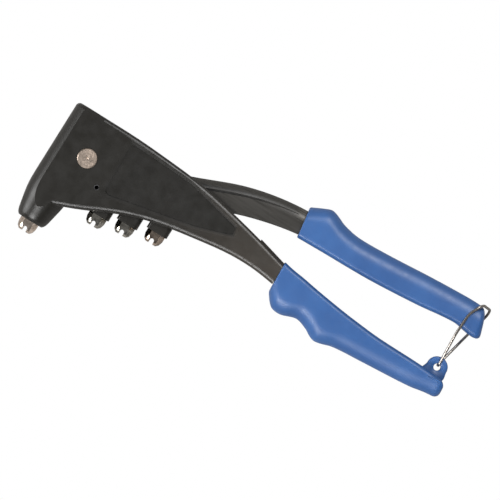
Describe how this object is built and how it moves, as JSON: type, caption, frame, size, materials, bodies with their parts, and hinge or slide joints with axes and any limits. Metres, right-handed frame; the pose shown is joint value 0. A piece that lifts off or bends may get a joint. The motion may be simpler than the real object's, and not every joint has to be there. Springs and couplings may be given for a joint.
{
  "type": "hand riveter",
  "caption": "Lever-operated blind rivet tool with a die-cast head, folded lever, cushioned grips, wire handle latch and spare nose pieces screwed into its underside.",
  "frame": {"origin": "centre of the barrel's front face on the nose axis, where the nose piece seats", "axes": "+X out of the nose along the mandrel, +Y from the head towards the handles, +Z through the tool's thickness; the tool lies on its side"},
  "size_m": [0.1049, 0.269, 0.0226],
  "materials": {
    "body_paint": "satin black powder coat on die-cast alloy",
    "lever_paint": "satin black paint on pressed steel, worn at the edges",
    "nickel": "bright nickel plate",
    "pin_steel": "bright turned steel",
    "dark_steel": "oiled steel",
    "grip_blue": "blue moulded vinyl",
    "spring_wire": "drawn spring wire"
  },
  "bodies": {
    "body": {"body_casting": "body_paint", "rear_plug": "dark_steel", "return_spring": "spring_wire", "pivot_pin": "pin_steel", "pin_ring": "dark_steel", "roll_pin": "dark_steel", "nose_piece": "nickel", "spare_nose_1": "nickel", "spare_nose_2": "nickel", "spare_nose_3": "nickel", "lower_grip": "grip_blue"},
    "lever": {"lever_channel": "lever_paint", "pivot_bush": "dark_steel", "upper_grip": "grip_blue"},
    "puller": {"puller_stem": "dark_steel", "lock_nut": "dark_steel", "jaw_case": "dark_steel", "pusher_spring": "spring_wire"},
    "pusher": {"jaw_pusher": "dark_steel"},
    "jaw_1": {"jaw_1": "dark_steel"},
    "jaw_2": {"jaw_2": "dark_steel"},
    "jaw_3": {"jaw_3": "dark_steel"},
    "latch": {"wire_latch": "spring_wire"}
  },
  "joints": [
    {"name": "lever_pivot", "type": "hinge", "parent": "body", "child": "lever", "pos_m": [-0.0479, 0.0097, 0], "axis": [0, 0, 1], "range_deg": [0, 50]},
    {"name": "puller_slide", "type": "slide", "parent": "body", "child": "puller", "axis": [1, 0, 0], "range_m": [0, 0.00822], "deforming": ["return_spring"]},
    {"name": "jaw_release", "type": "slide", "parent": "puller", "child": "pusher", "axis": [-1, 0, 0], "range_m": [0, 0.0015], "stiffness_N_per_m": 1500, "deforming": ["pusher_spring"]},
    {"name": "jaw_1_slide", "type": "slide", "parent": "puller", "child": "jaw_1", "axis": [-0.984, 0.1781, 0], "range_m": [0, 0.00153]},
    {"name": "jaw_2_slide", "type": "slide", "parent": "puller", "child": "jaw_2", "axis": [-0.984, -0.089, 0.1542], "range_m": [0, 0.00153]},
    {"name": "jaw_3_slide", "type": "slide", "parent": "puller", "child": "jaw_3", "axis": [-0.984, -0.089, -0.1542], "range_m": [0, 0.00153]},
    {"name": "latch_swing", "type": "hinge", "parent": "body", "child": "latch", "pos_m": [-0.0528, 0.24425, 0], "axis": [0, 0, 1], "range_deg": [-79, 0]}
  ],
  "couplings": [
    {"joint": "puller_slide", "follows": "lever_pivot", "m_per_rad": 0.0093951},
    {"joint": "jaw_1_slide", "follows": "jaw_release", "ratio": 1.0162},
    {"joint": "jaw_2_slide", "follows": "jaw_release", "ratio": 1.0162},
    {"joint": "jaw_3_slide", "follows": "jaw_release", "ratio": 1.0162}
  ]
}
